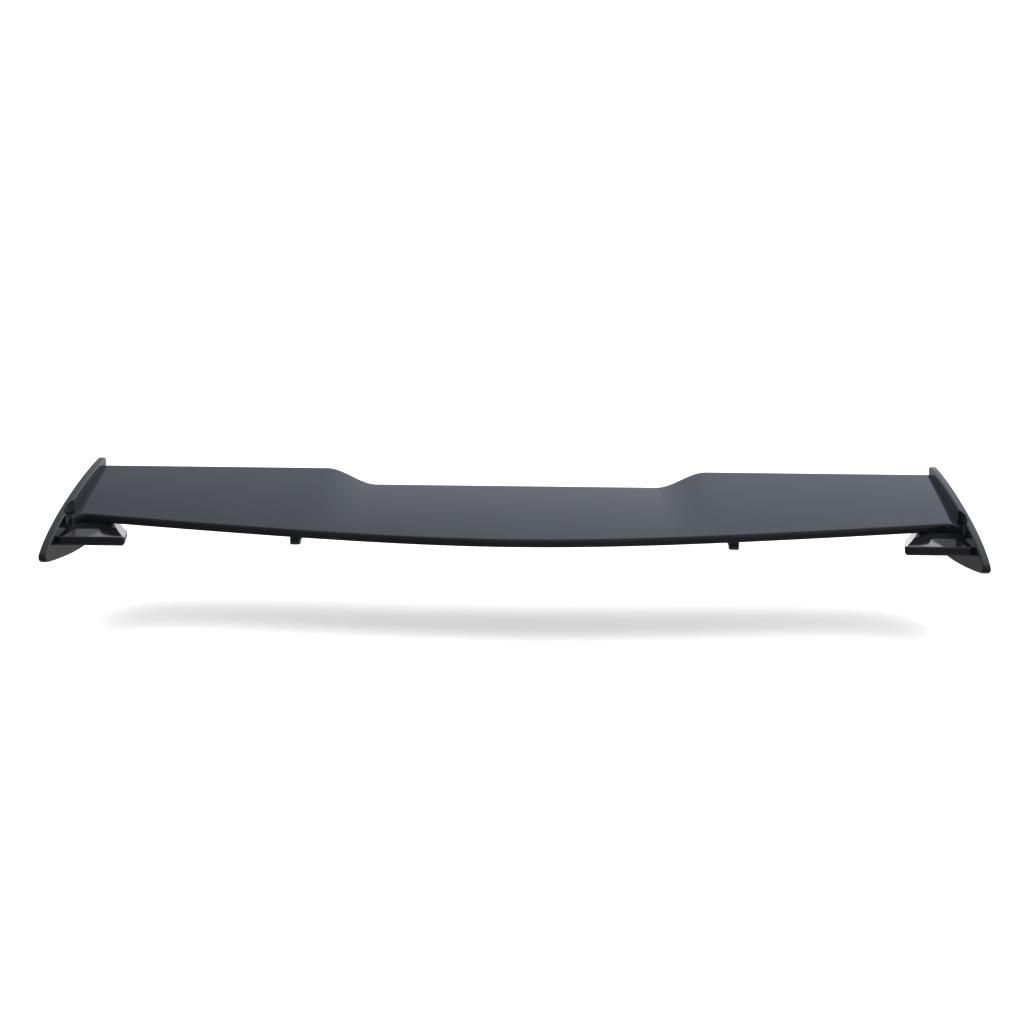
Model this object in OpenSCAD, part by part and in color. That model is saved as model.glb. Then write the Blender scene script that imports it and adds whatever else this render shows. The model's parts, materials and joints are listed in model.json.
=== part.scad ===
// Full-width rear wing: a bowed hollow blade carried between two endplates,
// standing on two flared feet, with two small support pegs under the blade.
// X runs across the car, -Y is the leading edge, +Z is up.
// Z = 0 is the lid surface that the feet and the pegs stand on.

/* [Overall] */
// Width across the outer faces of the endplates
span = 1350; // [1300:10:1400]
// Thickness of each endplate
plate_t = 12; // [11:1:14]

/* [Blade] */
// Height of the trailing edge at the endplates
te_end_z = 109; // [105:1:114]
// Position of the trailing edge at the endplates
te_end_y = 216; // [206:2:226]
// Position of the leading edge at the endplates
le_end_y = 23; // [18:1:28]
// Nose-down pitch of the blade, in degrees
pitch = 19.2; // [18:0.2:20]
// How far the leading edge bows forward at the middle
bow = 78; // [50:2:90]
// How soft the bend of the bow is
bend = 300; // [200:20:400]
// Thickness of the blunt leading edge
le_t = 12; // [11:0.5:14]
// Largest thickness of the blade
max_t = 17; // [16:0.5:20]
// Thickness of the trailing edge
te_t = 7; // [6:0.5:9]
// Wall of the blade shells
wall = 2.6; // [2.2:0.2:3]

/* [Centre recess] */
// Distance from the middle to the inner end of the recess's shoulder
recess_in = 222; // [200:2:240]
// Distance from the middle to the outer end of the recess's shoulder
recess_out = 304; // [290:2:316]
// How far the trailing edge steps forward in the recess
recess_cut = 25; // [10:1:35]
// How far the trailing edge drops in the recess
recess_dip = 16; // [8:1:20]

/* [Feet] */
// Thickness of the moulded base of each foot
pad_t = 11; // [10:1:13]
// Thickness of the rubber gasket under each foot
gasket_t = 2; // [1.5:0.5:3]
// Width of each foot at its front, measured in from the endplate
pad_w = 98; // [90:1:110]
// How much narrower each foot is at its rear
foot_taper = 33; // [28:1:36]
// Distance between the two threaded inserts of a foot
insert_gap = 100; // [80:5:110]

/* [Support pegs] */
// Distance from the middle to each peg
peg_x = 325; // [322:1:328]

/* [Hidden] */

gap = 0.3;            // shut line between neighbouring mouldings
glue = 0.25;          // glue line between the stiffeners and the shells
half = span / 2 - plate_t;
blade_end = half - gap;
gloss = [0.05, 0.05, 0.06];
satin = [0.11, 0.11, 0.12];
brass = [0.78, 0.62, 0.32];
steel = [0.62, 0.63, 0.65];
rubber = [0.03, 0.03, 0.03];

// Blade rule
thick_peak = 0.35;    // share of the chord where the blade is thickest
camber = 2;           // crown of the upper surface
dip_power = 1.3;      // how the recess's drop grows towards the rear
le_r = 3;             // edge radius of the leading edge
te_r = 2;             // edge radius of the trailing edge
le_wall = 3.2;        // wall behind the blunt leading edge
le_lip = 8;           // return of the upper shell under the leading edge
te_lip = 10;          // solid strip along the trailing edge
chord_steps = 12;
corner_steps = 3;

function smooth(t) = t <= 0 ? 0 : t >= 1 ? 1 : t * t * (3 - 2 * t);
function recess(x) =
    1 - smooth((abs(x) - recess_in) / (recess_out - recess_in));
function reach(x) = sqrt(x * x + bend * bend) - bend;
function le_y(x) = le_end_y - bow * (1 - reach(x) / reach(half));
function te_y(x) = te_end_y - recess_cut * recess(x);
function share(x, y) =
    max(0, min(1, (y - le_y(x)) / (te_y(x) - le_y(x))));
function top_z(x, y) = let (u = share(x, y))
    te_end_z + (y - te_end_y) * tan(pitch) + camber * sin(180 * u)
    - recess_dip * recess(x) * pow(u, dip_power);
function thick(x, y) = let (u = share(x, y))
    u < thick_peak ? le_t + (max_t - le_t) * sin(90 * u / thick_peak)
    : te_t + (max_t - te_t) * cos(90 * (u - thick_peak) / (1 - thick_peak));
function under_z(x, y) = top_z(x, y) - thick(x, y);

// A rim point is [share of the chord, offset along it, shares of the
// thickness below the top, depth added to that]
function rim_point(x, p) =
    let (y = le_y(x) + p[0] * (te_y(x) - le_y(x)) + p[1])
    [x, y, top_z(x, y) - p[2] * thick(x, y) - p[3]];
function ring(x, rim) = [for (p = rim) rim_point(x, p)];

turn = 90 / corner_steps;
chord_shares = [for (i = [1:chord_steps - 1]) i / chord_steps];
upper_rim = concat(
    [[0, le_lip, 1, 0]],
    [for (a = [0:turn:90]) [0, le_r * (1 - sin(a)), 1, -le_r * (1 - cos(a))]],
    [for (a = [0:turn:90]) [0, le_r * (1 - cos(a)), 0, le_r * (1 - sin(a))]],
    [for (u = chord_shares) [u, 0, 0, 0]],
    [for (a = [0:turn:90]) [1, -te_r * (1 - sin(a)), 0, te_r * (1 - cos(a))]],
    [for (a = [0:turn:90]) [1, -te_r * (1 - cos(a)), 1, -te_r * (1 - sin(a))]],
    [[1, -te_lip, 1, 0], [1, -te_lip, 0, wall]],
    [for (u = chord_shares) [1 - u, 0, 0, wall]],
    [[0, le_wall, 0, wall], [0, le_wall, 1, -wall], [0, le_lip, 1, -wall]]);
lower_rim = concat(
    [[0, le_lip + gap, 1, -wall]],
    [for (u = chord_shares) [u, 0, 1, -wall]],
    [[1, -te_lip - gap, 1, -wall], [1, -te_lip - gap, 1, 0]],
    [for (u = chord_shares) [1 - u, 0, 1, 0]],
    [[0, le_lip + gap, 1, 0]]);

// Stations across the blade, close together at the recess's shoulders
half_stations = concat(
    [for (i = [1:5]) recess_in * i / 6],
    [for (i = [0:8]) recess_in + (recess_out - recess_in) * i / 8],
    [for (i = [1:9]) recess_out + (blade_end - recess_out) * i / 9]);
function backwards(list) = [for (i = [len(list) - 1:-1:0]) list[i]];
stations = concat(-backwards(half_stations), [0], half_stations);

// A solid swept through rings that all have the same number of points. Flat
// rings are capped by one face, and bent ones by a fan of triangles.
module loft(rings, bent = false) {
    m = len(rings[0]);
    last = len(rings) - 1;
    top = last * m;
    polyhedron(
        points = [for (r = rings) each r],
        faces = concat(
            [for (i = [0:last - 1], j = [0:m - 1]) let (a = i * m, k = (j + 1) % m)
                each [[a + j, a + k, a + m + k], [a + j, a + m + k, a + m + j]]],
            bent ? [for (j = [1:m - 2]) each [[0, j + 1, j], [top, top + j, top + j + 1]]]
                 : [[for (j = [m - 1:-1:0]) j], [for (j = [0:m - 1]) top + j]]),
        convexity = 8);
}

module at_side(s) {
    if (s < 0) mirror([1, 0, 0]) children();
    else children();
}

// Draws a Y-Z outline and gives it a thickness from x0 to x1
module slab(x0, x1, outline) {
    translate([x0, 0, 0]) rotate([90, 0, 90])
        linear_extrude(x1 - x0) polygon(outline);
}

// Y-Z outline of the blade's hollow at x, between y0 and y1
function hollow_outline(x, y0, y1, top_gap, low_gap, steps = 8) = concat(
    [for (i = [0:steps]) let (y = y0 + (y1 - y0) * i / steps)
        [y, top_z(x, y) - wall - top_gap]],
    [for (i = [steps:-1:0]) let (y = y0 + (y1 - y0) * i / steps)
        [y, under_z(x, y) + wall + low_gap]]);

// ---------------------------------------------------------------- blade
module blade_upper_skin() {
    color(gloss) loft([for (x = stations) ring(x, upper_rim)]);
}

module blade_lower_skin() {
    color(satin) difference() {
        loft([for (x = stations) ring(x, lower_rim)]);
        for (s = [-1, 1]) at_side(s) {
            for (y = tie_ys) translate([tie_x, y, 0])
                cylinder(h = te_end_z, r = tie_hole_r, $fn = 32);
            translate([peg_x, peg_y, 0])
                cylinder(h = te_end_z, r = peg_hole_r, $fn = 32);
        }
    }
}

web_t = 3;
front_web_set = 14;   // distance of the front web behind the leading edge
rear_web_set = 24;    // distance of the rear web ahead of the trailing edge
web_end = 645;

function web_ring(x, y) = [
    for (p = [[-1, 1], [1, 1], [1, 0], [-1, 0]])
        let (q = y + p[0] * web_t / 2)
        [x, q, p[1] == 1 ? top_z(x, q) - wall - glue
                         : under_z(x, q) + wall + glue]];
web_stations = concat([-web_end],
    [for (x = stations) if (abs(x) < web_end - 5) x], [web_end]);

module blade_front_web() {
    color(satin)
        loft([for (x = web_stations) web_ring(x, le_y(x) + front_web_set)]);
}

module blade_rear_web() {
    color(satin)
        loft([for (x = web_stations) web_ring(x, te_y(x) - rear_web_set)]);
}

rib_xs = [75, 200, 330, 450, 570];
rib_t = 3;
rib_clear = 2.4;      // from a rib's end to the middle of a web
rib_low_gap = 0.35;
peg_rib_clear = 8;    // from a peg's screw to the front of the rib beside it
function rib_front(x) =
    abs(x - peg_x) < peg_insert_r + rib_t ? peg_y + peg_rib_clear
    : le_y(x) + front_web_set + rib_clear;

module blade_ribs() {
    color(satin) for (s = [-1, 1], x = rib_xs) at_side(s)
        slab(x - rib_t / 2, x + rib_t / 2,
            hollow_outline(x, rib_front(x), te_y(x) - rear_web_set - rib_clear,
                glue, rib_low_gap));
}

// ------------------------------------------------------------- blade ends
end_rib_t = 14;
end_rib_x = blade_end - end_rib_t;
screw_ys = [52, 96, 140];
screw_r = 2.5;
insert_r = 3.6;
insert_fit = 0.02;    // clearance round an insert
thread_fit = 0.05;    // clearance between a screw and its thread
end_insert_len = 12.5;
end_rib_gap = 0.45;
end_rib_back = te_end_y - te_lip - 3;
function screw_z(y) = top_z(half, y) - thick(half, y) / 2;

module end_rib(s) {
    color(satin) at_side(s) difference() {
        slab(end_rib_x, blade_end,
            hollow_outline(half, le_end_y + le_lip, end_rib_back,
                end_rib_gap, end_rib_gap, chord_steps));
        for (y = screw_ys) translate([end_rib_x - 1, y, screw_z(y)])
            rotate([0, 90, 0]) cylinder(h = end_rib_t + 2, r = insert_r, $fn = 32);
    }
}

module endplate_inserts(s) {
    color(brass) at_side(s) for (y = screw_ys)
        translate([end_rib_x + 1, y, screw_z(y)]) rotate([0, 90, 0])
            difference() {
                cylinder(h = end_insert_len, r = insert_r - insert_fit, $fn = 32);
                translate([0, 0, -1])
                    cylinder(h = end_rib_t + 2, r = screw_r + thread_fit, $fn = 32);
            }
}

// -------------------------------------------------------------- endplates
// Leaf outline, as four cubic curves that run on from each other
function curve(a, b, c, d, steps) = [for (i = [0:steps - 1])
    let (t = i / steps, v = 1 - t)
    v * v * v * a + 3 * v * v * t * b + 3 * v * t * t * c + t * t * t * d];
tail_tip = [222, 121];
nose_top = [-124, -9];
nose_low = [-108, -22];
belly = [80, -14];
tail_low = [226, 108];
leaf = concat(
    curve(tail_tip, [125, 100], [-70, 38], nose_top, 20),
    curve(nose_top, [-130, -15], [-128, -22], nose_low, 6),
    curve(nose_low, [-60, -22], [20, -20], belly, 8),
    curve(belly, [150, -7], [222, 40], tail_low, 12),
    curve(tail_low, [227, 116], [226, 121], tail_tip, 3));

head_r = 4.75;
plate_hole_r = 2.8;
head_h = 2.8;
cap_r = 7;
cap_t = 2;
cap_set = 0.2;        // how far a cap sits below the plate's face
cap_fit = 0.15;
seat_depth = 6;       // depth of a screw's seat in the endplate
scallop_len = 52;     // scooped relief in the inner top edge
scallop_depth = 6;
scallop_drop = 17;
scallop_at = [0, 50.5];
scallop_r = (pow(scallop_len / 2, 2) + pow(scallop_depth, 2))
    / (2 * scallop_depth);
edge_slope = 19;      // slope of the top edge at the scallop, in degrees

module endplate(s) {
    color(gloss) at_side(s) difference() {
        slab(half, half + plate_t, leaf);
        translate([half + scallop_depth - scallop_r, scallop_at[0], scallop_at[1]])
            rotate([edge_slope, 0, 0]) translate([0, 0, -scallop_drop])
            cylinder(h = 2 * scallop_drop, r = scallop_r, $fn = 96);
        for (y = screw_ys) translate([half, y, screw_z(y)]) rotate([0, 90, 0]) {
            translate([0, 0, -1]) cylinder(h = plate_t, r = plate_hole_r, $fn = 32);
            translate([0, 0, plate_t - seat_depth])
                cylinder(h = seat_depth + 1, r = cap_r, $fn = 48);
        }
    }
}

screw_len = 16;
socket_r = 1.9;
socket_depth = 2;
module endplate_screws(s) {
    color(steel) at_side(s) for (y = screw_ys)
        translate([half + plate_t - seat_depth, y, screw_z(y)])
            rotate([0, 90, 0]) difference() {
                union() {
                    cylinder(h = head_h, r = head_r, $fn = 48);
                    translate([0, 0, -screw_len])
                        cylinder(h = screw_len + 1, r = screw_r - thread_fit, $fn = 32);
                }
                translate([0, 0, head_h - socket_depth])
                    cylinder(h = socket_depth + 1, r = socket_r, $fn = 6);
            }
}

module screw_caps(s) {
    color(gloss) at_side(s) for (y = screw_ys)
        translate([half + plate_t - cap_t, y, screw_z(y)])
            rotate([0, 90, 0]) cylinder(h = cap_t - cap_set, r = cap_r - cap_fit, $fn = 48);
}

// ------------------------------------------------------------------- feet
pad_out = half - gap;
pad_in = pad_out - pad_w;
pad_y0 = -75;
pad_y1 = 95;
pad_top = gasket_t + pad_t;
pad_r = 6;
leg_inset = 2;
insert_x = 606;
insert_len = 9;
foot_insert_r = 4.5;
thread_r = 3;
tie_x = 634;
tie_ys = [50, 82];
tie_r = 3;
tie_hole_r = 3.5;
tie_head_r = 5;
tie_head_h = 6;
tie_seat = tie_head_h + 0.5;
tie_socket_r = 2.9;
tie_socket_depth = 3;
tie_seat_clear = 0.5;
tie_set = 0.2;        // how far a tie bolt's head stands above the gasket
tie_end = 4;          // from a tie bolt's end to the upper skin's inside
block_x0 = 612;
block_x1 = 646;
block_y0 = 40;
block_y1 = 100;
block_gap = 0.8;      // glue above and below a mounting block

// A plate with round corners, as the centres of its corners, taken
// anticlockwise, grown by r
module rounded_plate(centres, r, h) {
    n = len(centres);
    linear_extrude(h) {
        polygon([for (i = [0:n - 1])
            let (a = centres[i], b = centres[(i + 1) % n],
                along = (b - a) / norm(b - a), out = [along[1], -along[0]] * r)
            each [a + out, b + out]]);
        for (c = centres) translate(c) circle(r, $fn = 48);
    }
}

pad_centres = [[pad_in + pad_r, pad_y0 + pad_r], [pad_out - pad_r, pad_y0 + pad_r],
    [pad_out - pad_r, pad_y1 - pad_r], [pad_in + foot_taper + pad_r, pad_y1 - pad_r]];

module foot_pad(s) {
    color(satin) at_side(s) difference() {
        translate([0, 0, gasket_t])
            rounded_plate(pad_centres, pad_r, pad_t);
        for (y = [-1, 1]) translate([insert_x, y * insert_gap / 2, gasket_t - 1])
            cylinder(h = insert_len + 1.5, r = foot_insert_r, $fn = 32);
        for (y = tie_ys) translate([tie_x, y, gasket_t - 1]) {
            cylinder(h = pad_t + 2, r = tie_hole_r, $fn = 32);
            cylinder(h = tie_seat + 1, r = tie_head_r + tie_seat_clear, $fn = 48);
        }
    }
}

module foot_gasket(s) {
    color(rubber) at_side(s) difference() {
        rounded_plate(pad_centres, pad_r - leg_inset, gasket_t);
        for (y = [-1, 1]) translate([insert_x, y * insert_gap / 2, -1])
            cylinder(h = gasket_t + 2, r = foot_insert_r + 1, $fn = 32);
    }
}

module foot_inserts(s) {
    color(brass) at_side(s) for (y = [-1, 1])
        translate([insert_x, y * insert_gap / 2, gasket_t]) difference() {
            cylinder(h = insert_len, r = foot_insert_r - insert_fit, $fn = 32);
            translate([0, 0, -1]) cylinder(h = insert_len + 2, r = thread_r, $fn = 32);
        }
}

// Where the slanted inner side of a foot runs
function pad_edge(y) = pad_in + foot_taper * (y - pad_y0) / (pad_y1 - pad_y0);

// The leg's corners: [base x, base y, top x, top y, flare]
leg_y = le_end_y + 2;
leg_corners = [
    [pad_out, -58, pad_out, leg_y + 1, 1],
    [653, -73, 640, leg_y, 1],
    [597, -73, 629, leg_y, 1],
    [pad_edge(-66) + leg_inset, -66, 608, leg_y + 14, 1.9],
    [pad_edge(80) + leg_inset, 80, 625, 100, 1.9],
    [pad_edge(92) + 5 * leg_inset, 92, 632, 114, 1.9],
    [pad_out, 92, pad_out, 114, 1]];
leg_steps = 7;
leg_wall = 3.5;
leg_hollow_x = 629;   // inner side of the leg's hollow

function leg_ring(t) = [for (c = leg_corners)
    let (w = 1 - pow(1 - t, c[4]), roof = under_z(c[2], c[3]) - gap)
    [c[0] + (c[2] - c[0]) * w, c[1] + (c[3] - c[1]) * w,
        pad_top + (roof - pad_top) * t]];
function leg_roof(y) = under_z(tie_x, y) - gap - leg_wall;
leg_hollow = [[12, pad_top - 1], [84, pad_top - 1], [84, pad_top + 8],
    [104, leg_roof(104)], [34, leg_roof(34)]];

module foot_leg(s) {
    color(gloss) at_side(s) difference() {
        loft([for (i = [0:leg_steps]) leg_ring(i / leg_steps)], true);
        slab(leg_hollow_x, pad_out - leg_wall, leg_hollow);
        for (y = tie_ys) translate([tie_x, y, pad_top - 1])
            cylinder(h = te_end_z, r = tie_hole_r, $fn = 32);
    }
}

module mount_block(s) {
    color(satin) at_side(s) difference() {
        slab(block_x0, block_x1,
            hollow_outline((block_x0 + block_x1) / 2, block_y0, block_y1,
                block_gap, block_gap));
        for (y = tie_ys) translate([tie_x, y, 0])
            cylinder(h = te_end_z, r = tie_r + thread_fit, $fn = 32);
    }
}

module tie_bolts(s) {
    z0 = gasket_t + tie_set;
    color(steel) at_side(s) for (y = tie_ys) translate([tie_x, y, z0])
        difference() {
            union() {
                cylinder(h = tie_head_h, r = tie_head_r, $fn = 48);
                cylinder(h = top_z(tie_x, y) - wall - tie_end - z0, r = tie_r, $fn = 32);
            }
            translate([0, 0, -1]) cylinder(h = tie_socket_depth + 1, r = tie_socket_r, $fn = 6);
        }
}

// ------------------------------------------------------------------- pegs
peg_y = 4;
peg_len = 26;
peg_top_w = 21;
peg_low_w = 13;
tip_h = 4;
peg_screw_r = 2.5;
peg_hole_r = 3;
peg_out = peg_x + 8;

peg_front = peg_y - peg_len / 2;
peg_back = peg_y + peg_len / 2;
peg_shoulder = 24;    // height where the peg's inner side starts to slope in
peg_gap = 0.5;        // shut line between a peg and the blade
peg_screw_end = 7;    // how far a peg screw goes past the lower skin
peg_seat_r = 4.6;     // seat of the peg screw's head
peg_seat_depth = 3.5;
peg_seat_top = tip_h + peg_seat_depth;
peg_screw_set = 0.5;  // from the top of the seat to the screw's head
peg_head_r = 4.3;
peg_head_h = 3;
peg_socket_depth = 2;
peg_insert_r = 3.8;
peg_socket_r = 1.9;

module support_peg(s) {
    outline = [[peg_front, tip_h], [peg_back, tip_h],
        [peg_back, under_z(peg_x, peg_back) - peg_gap],
        [peg_front, under_z(peg_x, peg_front) - peg_gap]];
    color(satin) at_side(s) difference() {
        intersection() {
            slab(peg_out - peg_top_w, peg_out, outline);
            translate([0, peg_back + 1, 0]) rotate([90, 0, 0])
                linear_extrude(peg_len + 2) polygon([
                    [peg_out, tip_h - 1], [peg_out, te_end_z],
                    [peg_out - peg_top_w, te_end_z], [peg_out - peg_top_w, peg_shoulder],
                    [peg_out - peg_low_w, tip_h - 1]]);
        }
        translate([peg_x, peg_y, 0]) {
            cylinder(h = te_end_z, r = peg_hole_r, $fn = 32);
            cylinder(h = peg_seat_top, r = peg_seat_r, $fn = 32);
        }
    }
}

tip_r = 2.5;
tip_proud = 0.5;      // how far a tip stands out from its peg's inner side
tip_x0 = peg_out - peg_low_w - tip_proud + tip_r;
tip_x1 = peg_out - tip_r;
tip_y0 = peg_front + tip_r;
tip_y1 = peg_back - tip_r;
tip_centres = [[tip_x0, tip_y0], [tip_x1, tip_y0], [tip_x1, tip_y1], [tip_x0, tip_y1]];

module peg_tip(s) {
    color(rubber) at_side(s) difference() {
        rounded_plate(tip_centres, tip_r, tip_h);
        translate([peg_x, peg_y, -1])
            cylinder(h = tip_h + 2, r = peg_seat_r, $fn = 32);
    }
}

module peg_screw(s) {
    z0 = peg_seat_top - peg_screw_set - peg_head_h;
    len = under_z(peg_x, peg_y) + wall + peg_screw_end - z0;
    color(steel) at_side(s) translate([peg_x, peg_y, z0]) difference() {
        union() {
            cylinder(h = peg_head_h, r = peg_head_r, $fn = 48);
            cylinder(h = len, r = peg_screw_r - thread_fit, $fn = 32);
        }
        translate([0, 0, -1])
            cylinder(h = peg_socket_depth + 1, r = peg_socket_r, $fn = 6);
    }
}

module peg_insert(s) {
    low = under_z(peg_x, peg_y + peg_insert_r) + wall + gap;
    top = top_z(peg_x, peg_y - peg_insert_r) - wall - gap;
    color(brass) at_side(s) translate([peg_x, peg_y, low]) difference() {
        cylinder(h = top - low, r = peg_insert_r, $fn = 32);
        translate([0, 0, -1]) cylinder(h = top - low + 2, r = peg_screw_r, $fn = 32);
    }
}

blade_upper_skin();
blade_lower_skin();
blade_front_web();
blade_rear_web();
blade_ribs();
end_rib(-1);  // end_rib_left
end_rib(1);  // end_rib_right
endplate(-1);  // endplate_left
endplate(1);  // endplate_right
endplate_screws(-1);  // endplate_screws_left
endplate_screws(1);  // endplate_screws_right
endplate_inserts(-1);  // endplate_inserts_left
endplate_inserts(1);  // endplate_inserts_right
screw_caps(-1);  // screw_caps_left
screw_caps(1);  // screw_caps_right
foot_leg(-1);  // foot_leg_left
foot_leg(1);  // foot_leg_right
foot_pad(-1);  // foot_pad_left
foot_pad(1);  // foot_pad_right
foot_gasket(-1);  // foot_gasket_left
foot_gasket(1);  // foot_gasket_right
foot_inserts(-1);  // foot_inserts_left
foot_inserts(1);  // foot_inserts_right
mount_block(-1);  // mount_block_left
mount_block(1);  // mount_block_right
tie_bolts(-1);  // tie_bolts_left
tie_bolts(1);  // tie_bolts_right
support_peg(-1);  // support_peg_left
support_peg(1);  // support_peg_right
peg_tip(-1);  // peg_tip_left
peg_tip(1);  // peg_tip_right
peg_screw(-1);  // peg_screw_left
peg_screw(1);  // peg_screw_right
peg_insert(-1);  // peg_insert_left
peg_insert(1);  // peg_insert_right
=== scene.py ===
# %% [markdown]
# # A full-width rear wing in gloss black
#
# The real wing is a set of plastic mouldings. A long bowed blade is glued up from
# an upper and a lower skin. Two leaf-shaped endplates are screwed to its ends, and
# the whole stands on two flared feet, with two small pegs under the blade.
#
# They say where everything sits and how large it is. The lesson then makes each
# part that shows again, with smooth curves, rounded edges and a proper finish, in
# the same place.

import json
import math

import bmesh
import bpy
from mathutils import Matrix, Quaternion, Vector
from mathutils.bvhtree import BVHTree


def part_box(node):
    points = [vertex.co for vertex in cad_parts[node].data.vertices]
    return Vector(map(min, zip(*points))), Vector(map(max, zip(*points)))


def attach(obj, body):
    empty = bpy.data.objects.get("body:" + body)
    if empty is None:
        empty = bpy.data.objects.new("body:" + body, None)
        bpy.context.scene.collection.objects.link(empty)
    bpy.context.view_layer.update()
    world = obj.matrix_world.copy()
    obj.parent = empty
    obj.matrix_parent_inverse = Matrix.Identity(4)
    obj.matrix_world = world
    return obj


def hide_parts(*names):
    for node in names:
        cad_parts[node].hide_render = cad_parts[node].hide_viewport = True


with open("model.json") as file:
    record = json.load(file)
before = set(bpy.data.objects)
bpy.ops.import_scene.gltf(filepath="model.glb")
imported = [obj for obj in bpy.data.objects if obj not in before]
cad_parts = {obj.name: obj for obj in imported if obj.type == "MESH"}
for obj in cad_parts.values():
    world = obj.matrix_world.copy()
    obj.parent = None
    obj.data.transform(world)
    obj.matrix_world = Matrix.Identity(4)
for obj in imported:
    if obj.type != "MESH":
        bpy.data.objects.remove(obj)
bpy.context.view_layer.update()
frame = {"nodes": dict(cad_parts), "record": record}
SIDES = {"left": -1, "right": 1}
MM = 0.001
print("parts loaded:", len(frame["nodes"]))

# %% [markdown]
# ## The camera
#
# A long lens far away keeps the wing's lines almost parallel, as product pictures
# do. The camera stands in front of the leading edge, barely above the blade, so
# the broad upper surface is seen as a low band. A camera could be turned by hand,
# but a target, two angles and a distance say the same thing in plain numbers.

# %% Camera
CAMERA_TARGET = Vector((-4, 1, 52)) * MM
CAMERA_AZIMUTH = math.radians(0.6)
CAMERA_ELEVATION = math.radians(3.0)
CAMERA_ROLL = math.radians(0.65)
CAMERA_DISTANCE = 2.60
LENS_MM = 61.5

camera_data = bpy.data.cameras.new("camera")
camera_data.lens = LENS_MM
camera_data.sensor_width = 36
camera = bpy.data.objects.new("camera", camera_data)
bpy.context.scene.collection.objects.link(camera)
backwards = Vector((
    math.sin(CAMERA_AZIMUTH) * math.cos(CAMERA_ELEVATION),
    -math.cos(CAMERA_AZIMUTH) * math.cos(CAMERA_ELEVATION),
    math.sin(CAMERA_ELEVATION),
))
camera.location = CAMERA_TARGET + backwards * CAMERA_DISTANCE
camera.rotation_mode = "QUATERNION"
upright = (-backwards).to_track_quat("-Z", "Y")
camera.rotation_quaternion = upright @ Quaternion((0, 0, 1), CAMERA_ROLL)
bpy.context.scene.camera = camera
print("camera at", [round(c, 3) for c in camera.location])

# %% [markdown]
# ## The finishes
#
# Each finish is a small network of nodes round one Principled shader. All of them
# need the same three things: the colour with a little drift in it, a roughness
# that isn't the same everywhere, and a fine relief. One helper makes that, and
# each finish then only says its own numbers. Textures read Object coordinates,
# which are real metres here, so a pattern keeps its true size on every part.

# %% A helper that builds a finish
def finish_material(name, dark, light, rough, relief, metallic=0.0, ior=1.5):
    """dark and light are colours, rough is (least, most), relief is a list of
    (pattern size in metres, height in metres)."""
    material = bpy.data.materials.new(name)
    material.use_nodes = True
    nodes = material.node_tree.nodes
    links = material.node_tree.links
    shader = nodes["Principled BSDF"]
    shader.inputs["Metallic"].default_value = metallic
    shader.inputs["IOR"].default_value = ior
    place = nodes.new("ShaderNodeTexCoord").outputs["Object"]

    drift = nodes.new("ShaderNodeTexNoise")
    drift.inputs["Scale"].default_value = 9
    drift.inputs["Detail"].default_value = 3
    links.new(place, drift.inputs["Vector"])
    colour = nodes.new("ShaderNodeValToRGB")
    colour.color_ramp.elements[0].position = 0.35
    colour.color_ramp.elements[0].color = (*dark, 1)
    colour.color_ramp.elements[1].position = 0.65
    colour.color_ramp.elements[1].color = (*light, 1)
    links.new(drift.outputs["Fac"], colour.inputs["Fac"])
    links.new(colour.outputs["Color"], shader.inputs["Base Color"])

    polish = nodes.new("ShaderNodeTexNoise")
    polish.inputs["Scale"].default_value = 40
    polish.inputs["Detail"].default_value = 4
    links.new(place, polish.inputs["Vector"])
    spread = nodes.new("ShaderNodeMapRange")
    spread.inputs["From Min"].default_value = 0.3
    spread.inputs["From Max"].default_value = 0.7
    spread.inputs["To Min"].default_value = rough[0]
    spread.inputs["To Max"].default_value = rough[1]
    links.new(polish.outputs["Fac"], spread.inputs["Value"])
    links.new(spread.outputs["Result"], shader.inputs["Roughness"])

    normal = None
    for size, height in relief:
        grain = nodes.new("ShaderNodeTexNoise")
        grain.inputs["Scale"].default_value = 1 / size
        grain.inputs["Detail"].default_value = 2
        links.new(place, grain.inputs["Vector"])
        bump = nodes.new("ShaderNodeBump")
        bump.inputs["Distance"].default_value = height
        links.new(grain.outputs["Fac"], bump.inputs["Height"])
        if normal:
            links.new(normal, bump.inputs["Normal"])
        normal = bump.outputs["Normal"]
    links.new(normal, shader.inputs["Normal"])
    return material


# %% [markdown]
# Gloss black plastic is nearly black in itself. What is seen is the room in its
# skin, so the base colour is very dark, the roughness is close to that of glass,
# and two very shallow waves stand for the flow of the moulding: one as long as a
# hand, which bends reflections a little, and one like fine orange peel.
# Satin black is the same plastic with the grain of the tool left in it, rubber is
# rougher and softer still, and the two metals differ in colour and in polish.

# %% The six finishes
gloss_black = finish_material(
    "gloss_black", (0.0045, 0.0047, 0.0058), (0.006, 0.0063, 0.0078), (0.035, 0.07),
    [(0.09, 0.00002), (0.0022, 0.0000007)], ior=1.5)
satin_black = finish_material(
    "satin_black", (0.011, 0.011, 0.012), (0.015, 0.015, 0.017), (0.38, 0.5),
    [(0.0011, 0.00002), (0.03, 0.00004)])
foot_black = finish_material(
    "foot_black", (0.005, 0.005, 0.006), (0.007, 0.007, 0.009), (0.05, 0.09),
    [(0.0012, 0.000004), (0.03, 0.00002)])
seal_rubber = finish_material(
    "seal_rubber", (0.012, 0.012, 0.012), (0.02, 0.02, 0.02), (0.7, 0.85),
    [(0.0006, 0.00003)])
turned_brass = finish_material(
    "turned_brass", (0.62, 0.43, 0.17), (0.74, 0.54, 0.25), (0.2, 0.34),
    [(0.0004, 0.000008)], metallic=1.0)
zinc_steel = finish_material(
    "zinc_steel", (0.52, 0.53, 0.55), (0.66, 0.66, 0.68), (0.25, 0.4),
    [(0.0005, 0.000008)], metallic=1.0)
print("finishes:", [m.name for m in bpy.data.materials if m.users])

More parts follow.
